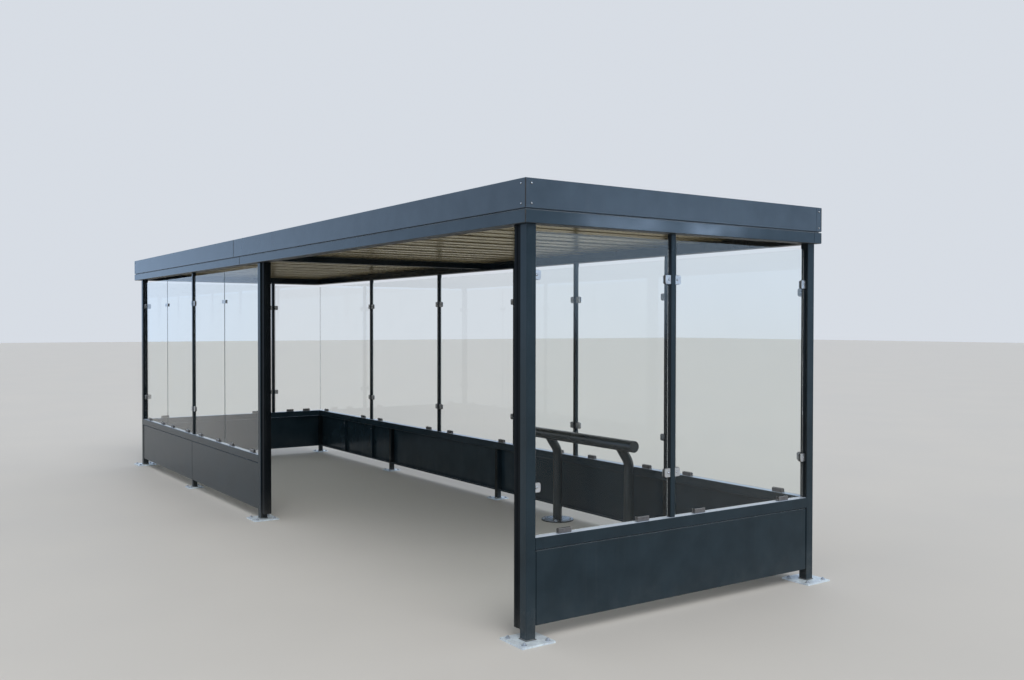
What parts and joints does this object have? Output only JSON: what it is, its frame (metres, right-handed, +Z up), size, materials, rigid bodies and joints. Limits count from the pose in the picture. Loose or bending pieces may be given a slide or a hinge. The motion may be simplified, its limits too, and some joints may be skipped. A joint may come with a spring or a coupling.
{
  "type": "bus shelter",
  "caption": "Flat-roofed steel bus shelter with low steel walls, clamped glass screens round the waiting side, an open entrance and a perch rail.",
  "frame": {"origin": "on the ground under the middle of the plan", "axes": "+X along the length to the end beside the open entrance, -Y out of the entrance side, +Z up"},
  "size_m": [8.135, 2.41, 2.4],
  "materials": {
    "deck": "satin",
    "fascia": "satin",
    "beam": "satin",
    "post": "satin",
    "zinc": "matt",
    "panel": "satin",
    "glass": "clear",
    "clamp": "brushed",
    "perch": "satin"
  },
  "bodies": {
    "root": {"roof_deck": "deck", "fascia_front": "fascia", "fascia_back": "fascia", "fascia_right": "fascia", "fascia_left": "fascia", "edge_beam_front": "beam", "edge_beam_back": "beam", "edge_beam_right": "beam", "edge_beam_left": "beam", "cross_beams": "beam", "post_front_right": "post", "post_front_middle": "post", "post_front_left": "post", "post_back_right": "post", "base_plates": "zinc", "wall_legs": "post", "leg_plates": "zinc", "mullion_right": "post", "mullion_left": "post", "mullion_front": "post", "mullions_back": "post", "rail_right": "panel", "rail_left": "panel", "rail_front": "panel", "rail_back": "panel", "panel_right": "panel", "panel_left": "panel", "panels_front": "panel", "panels_back": "panel", "panel_ribs": "panel", "glass_right": "glass", "glass_left": "glass", "glass_front": "glass", "glass_back": "glass", "clamps_right": "clamp", "clamps_left": "clamp", "clamps_front": "clamp", "clamps_back": "clamp", "rail_shoes": "clamp", "entrance_channels": "post", "perch_tube": "perch", "perch_leg_pair": "perch", "perch_feet": "perch"}
  },
  "joints": []
}
